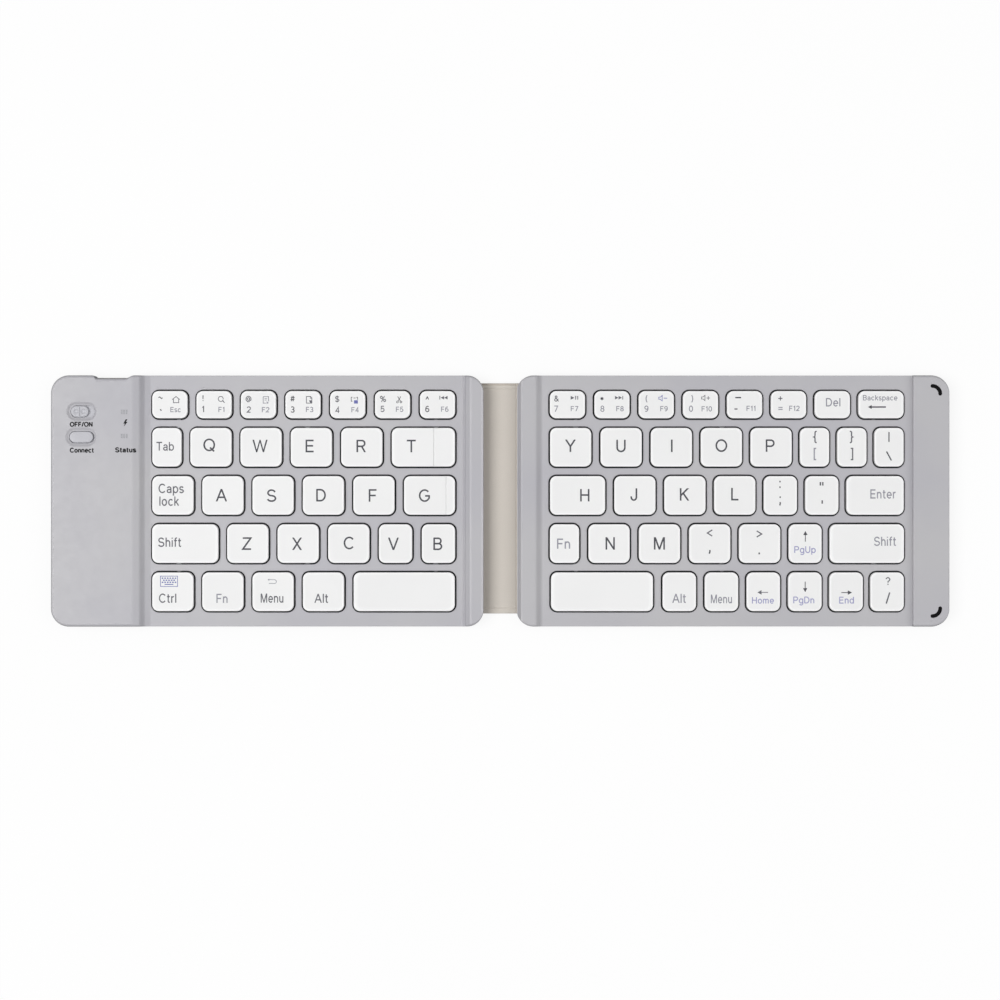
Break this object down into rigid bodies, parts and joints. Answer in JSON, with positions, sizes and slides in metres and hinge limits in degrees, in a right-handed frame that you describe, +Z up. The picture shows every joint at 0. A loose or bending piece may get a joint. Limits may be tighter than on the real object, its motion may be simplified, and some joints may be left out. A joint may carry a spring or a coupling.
{
  "type": "folding keyboard",
  "caption": "Slim wireless keyboard in two keyed halves joined by a flexible leather spine; it folds face to face and has a slide switch, a connect button and a charging socket.",
  "frame": {"origin": "on the table under the middle of the spine strip: centre of the open keyboard's footprint, at its underside", "axes": "+X along the length towards the right half, +Y from the front edge to the rear edge with the number row, +Z up out of the keys"},
  "size_m": [0.3056, 0.0856, 0.0077],
  "materials": {
    "frame_plastic": "satin moulded plastic, silver grey",
    "keycap_plastic": "satin white",
    "legend_print": "matt printed legend",
    "panel_print": "matt printed mark",
    "steel_plate": "zinc plated sheet",
    "leather_cover": "fine grained, off-white grey",
    "leather_lining": "smooth suede-like lining, beige",
    "membrane_film": "polyester film",
    "dome_rubber": "silicone, milky",
    "scissor_plastic": "acetal, natural",
    "wire_steel": "drawn wire",
    "magnet_steel": "nickel plated",
    "screw_steel": "zinc plated",
    "battery_pouch": "foil laminate",
    "lead_insulation": "silicone insulation",
    "circuit_board": "solder mask",
    "component_black": "moulded package",
    "connector_plastic": "nylon",
    "port_steel": "nickel plated sheet",
    "port_tongue": "glass filled",
    "switch_body": "moulded",
    "switch_lever": "acetal",
    "led_package": "clear epoxy",
    "light_guide": "frosted acrylic",
    "ribbon_film": "polyimide film",
    "control_plastic": "satin moulded plastic, silver grey",
    "bumper_rubber": "soft touch"
  },
  "bodies": {
    "left_half": {"left_frame": "frame_plastic", "left_base_plate": "steel_plate", "left_cover_panel": "leather_cover", "left_membrane": "membrane_film", "left_rubber_domes": "dome_rubber", "left_scissor_links": "scissor_plastic", "left_stabiliser_bars": "wire_steel", "left_magnets": "magnet_steel", "left_screws": "screw_steel", "battery": "battery_pouch", "battery_leads": "lead_insulation", "main_circuit_board": "circuit_board", "circuit_components": "component_black", "membrane_connector": "connector_plastic", "usb_port_shell": "port_steel", "usb_port_tongue": "port_tongue", "power_switch_housing": "switch_body", "tact_switch_housing": "switch_body", "status_leds": "led_package", "status_light_guides": "light_guide"},
    "spine_left": {"spine_cover_left": "leather_cover", "spine_lining_left": "leather_lining"},
    "spine_middle": {"spine_cover_middle": "leather_cover", "spine_lining_middle": "leather_lining", "flex_cable": "ribbon_film"},
    "spine_right": {"spine_cover_right": "leather_cover", "spine_lining_right": "leather_lining"},
    "right_half": {"right_frame": "frame_plastic", "right_base_plate": "steel_plate", "right_cover_panel": "leather_cover", "right_membrane": "membrane_film", "right_rubber_domes": "dome_rubber", "right_scissor_links": "scissor_plastic", "right_stabiliser_bars": "wire_steel", "right_magnets": "magnet_steel", "right_screws": "screw_steel", "rear_corner_bumper": "bumper_rubber", "front_corner_bumper": "bumper_rubber"},
    "power_slider": {"power_slider": "control_plastic", "power_switch_lever": "switch_lever"},
    "connect_button": {"connect_button": "control_plastic", "tact_plunger": "switch_lever"},
    "keys_numbers_left": {"keys_numbers_left": "keycap_plastic"},
    "key_tab": {"key_tab": "keycap_plastic"},
    "keys_qwert": {"keys_qwert": "keycap_plastic"},
    "key_caps_lock": {"key_caps_lock": "keycap_plastic"},
    "keys_asdfg": {"keys_asdfg": "keycap_plastic"},
    "key_shift_left": {"key_shift_left": "keycap_plastic"},
    "keys_zxcvb": {"keys_zxcvb": "keycap_plastic"},
    "keys_modifiers_left": {"keys_modifiers_left": "keycap_plastic"},
    "key_space_left": {"key_space_left": "keycap_plastic"},
    "keys_numbers_right": {"keys_numbers_right": "keycap_plastic"},
    "key_backspace": {"key_backspace": "keycap_plastic"},
    "keys_yuiop": {"keys_yuiop": "keycap_plastic"},
    "keys_hjkl": {"keys_hjkl": "keycap_plastic"},
    "key_enter": {"key_enter": "keycap_plastic"},
    "keys_nm": {"keys_nm": "keycap_plastic"},
    "key_shift_right": {"key_shift_right": "keycap_plastic"},
    "keys_modifiers_right": {"keys_modifiers_right": "keycap_plastic"},
    "key_space_right": {"key_space_right": "keycap_plastic"}
  },
  "joints": [
    {"name": "fold_inner_left", "type": "hinge", "parent": "spine_middle", "child": "spine_left", "pos_m": [-0.00346, 0, 0.00045], "axis": [0, 1, 0], "range_deg": [0, 45], "deforming": ["flex_cable"]},
    {"name": "fold_outer_left", "type": "hinge", "parent": "spine_left", "child": "left_half", "pos_m": [-0.00871, 0, 0.00045], "axis": [0, 1, 0], "range_deg": [0, 45], "deforming": ["flex_cable"]},
    {"name": "fold_inner_right", "type": "hinge", "parent": "spine_middle", "child": "spine_right", "pos_m": [0.00346, 0, 0.00045], "axis": [0, -1, 0], "range_deg": [0, 45], "deforming": ["flex_cable"]},
    {"name": "fold_outer_right", "type": "hinge", "parent": "spine_right", "child": "right_half", "pos_m": [0.00871, 0, 0.00045], "axis": [0, -1, 0], "range_deg": [0, 45], "deforming": ["flex_cable"]},
    {"name": "keys_numbers_left_press", "type": "slide", "parent": "left_half", "child": "keys_numbers_left", "axis": [0, 0, -1], "range_m": [0, 0.0015], "stiffness_N_per_m": 2331, "deforming": ["left_rubber_domes", "left_scissor_links", "left_stabiliser_bars"]},
    {"name": "key_tab_press", "type": "slide", "parent": "left_half", "child": "key_tab", "axis": [0, 0, -1], "range_m": [0, 0.0015], "stiffness_N_per_m": 333, "deforming": ["left_rubber_domes", "left_scissor_links", "left_stabiliser_bars"]},
    {"name": "keys_qwert_press", "type": "slide", "parent": "left_half", "child": "keys_qwert", "axis": [0, 0, -1], "range_m": [0, 0.0015], "stiffness_N_per_m": 1665, "deforming": ["left_rubber_domes", "left_scissor_links", "left_stabiliser_bars"]},
    {"name": "key_caps_lock_press", "type": "slide", "parent": "left_half", "child": "key_caps_lock", "axis": [0, 0, -1], "range_m": [0, 0.0015], "stiffness_N_per_m": 333, "deforming": ["left_rubber_domes", "left_scissor_links", "left_stabiliser_bars"]},
    {"name": "keys_asdfg_press", "type": "slide", "parent": "left_half", "child": "keys_asdfg", "axis": [0, 0, -1], "range_m": [0, 0.0015], "stiffness_N_per_m": 1665, "deforming": ["left_rubber_domes", "left_scissor_links", "left_stabiliser_bars"]},
    {"name": "key_shift_left_press", "type": "slide", "parent": "left_half", "child": "key_shift_left", "axis": [0, 0, -1], "range_m": [0, 0.0015], "stiffness_N_per_m": 333, "deforming": ["left_rubber_domes", "left_scissor_links", "left_stabiliser_bars"]},
    {"name": "keys_zxcvb_press", "type": "slide", "parent": "left_half", "child": "keys_zxcvb", "axis": [0, 0, -1], "range_m": [0, 0.0015], "stiffness_N_per_m": 1665, "deforming": ["left_rubber_domes", "left_scissor_links", "left_stabiliser_bars"]},
    {"name": "keys_modifiers_left_press", "type": "slide", "parent": "left_half", "child": "keys_modifiers_left", "axis": [0, 0, -1], "range_m": [0, 0.0015], "stiffness_N_per_m": 1332, "deforming": ["left_rubber_domes", "left_scissor_links", "left_stabiliser_bars"]},
    {"name": "key_space_left_press", "type": "slide", "parent": "left_half", "child": "key_space_left", "axis": [0, 0, -1], "range_m": [0, 0.0015], "stiffness_N_per_m": 333, "deforming": ["left_rubber_domes", "left_scissor_links", "left_stabiliser_bars"]},
    {"name": "keys_numbers_right_press", "type": "slide", "parent": "right_half", "child": "keys_numbers_right", "axis": [0, 0, -1], "range_m": [0, 0.0015], "stiffness_N_per_m": 2331, "deforming": ["right_rubber_domes", "right_scissor_links", "right_stabiliser_bars"]},
    {"name": "key_backspace_press", "type": "slide", "parent": "right_half", "child": "key_backspace", "axis": [0, 0, -1], "range_m": [0, 0.0015], "stiffness_N_per_m": 333, "deforming": ["right_rubber_domes", "right_scissor_links", "right_stabiliser_bars"]},
    {"name": "keys_yuiop_press", "type": "slide", "parent": "right_half", "child": "keys_yuiop", "axis": [0, 0, -1], "range_m": [0, 0.0015], "stiffness_N_per_m": 2664, "deforming": ["right_rubber_domes", "right_scissor_links", "right_stabiliser_bars"]},
    {"name": "keys_hjkl_press", "type": "slide", "parent": "right_half", "child": "keys_hjkl", "axis": [0, 0, -1], "range_m": [0, 0.0015], "stiffness_N_per_m": 1998, "deforming": ["right_rubber_domes", "right_scissor_links", "right_stabiliser_bars"]},
    {"name": "key_enter_press", "type": "slide", "parent": "right_half", "child": "key_enter", "axis": [0, 0, -1], "range_m": [0, 0.0015], "stiffness_N_per_m": 333, "deforming": ["right_rubber_domes", "right_scissor_links", "right_stabiliser_bars"]},
    {"name": "keys_nm_press", "type": "slide", "parent": "right_half", "child": "keys_nm", "axis": [0, 0, -1], "range_m": [0, 0.0015], "stiffness_N_per_m": 1998, "deforming": ["right_rubber_domes", "right_scissor_links", "right_stabiliser_bars"]},
    {"name": "key_shift_right_press", "type": "slide", "parent": "right_half", "child": "key_shift_right", "axis": [0, 0, -1], "range_m": [0, 0.0015], "stiffness_N_per_m": 333, "deforming": ["right_rubber_domes", "right_scissor_links", "right_stabiliser_bars"]},
    {"name": "keys_modifiers_right_press", "type": "slide", "parent": "right_half", "child": "keys_modifiers_right", "axis": [0, 0, -1], "range_m": [0, 0.0015], "stiffness_N_per_m": 1998, "deforming": ["right_rubber_domes", "right_scissor_links", "right_stabiliser_bars"]},
    {"name": "key_space_right_press", "type": "slide", "parent": "right_half", "child": "key_space_right", "axis": [0, 0, -1], "range_m": [0, 0.0015], "stiffness_N_per_m": 333, "deforming": ["right_rubber_domes", "right_scissor_links", "right_stabiliser_bars"]},
    {"name": "power_slide", "type": "slide", "parent": "left_half", "child": "power_slider", "axis": [1, 0, 0], "range_m": [0, 0.002]},
    {"name": "connect_press", "type": "slide", "parent": "left_half", "child": "connect_button", "axis": [0, 0, -1], "range_m": [0, 0.00035], "stiffness_N_per_m": 4000}
  ],
  "couplings": [
    {"joint": "fold_inner_left", "follows": "fold_outer_left", "ratio": 1},
    {"joint": "fold_inner_right", "follows": "fold_outer_right", "ratio": 1}
  ]
}
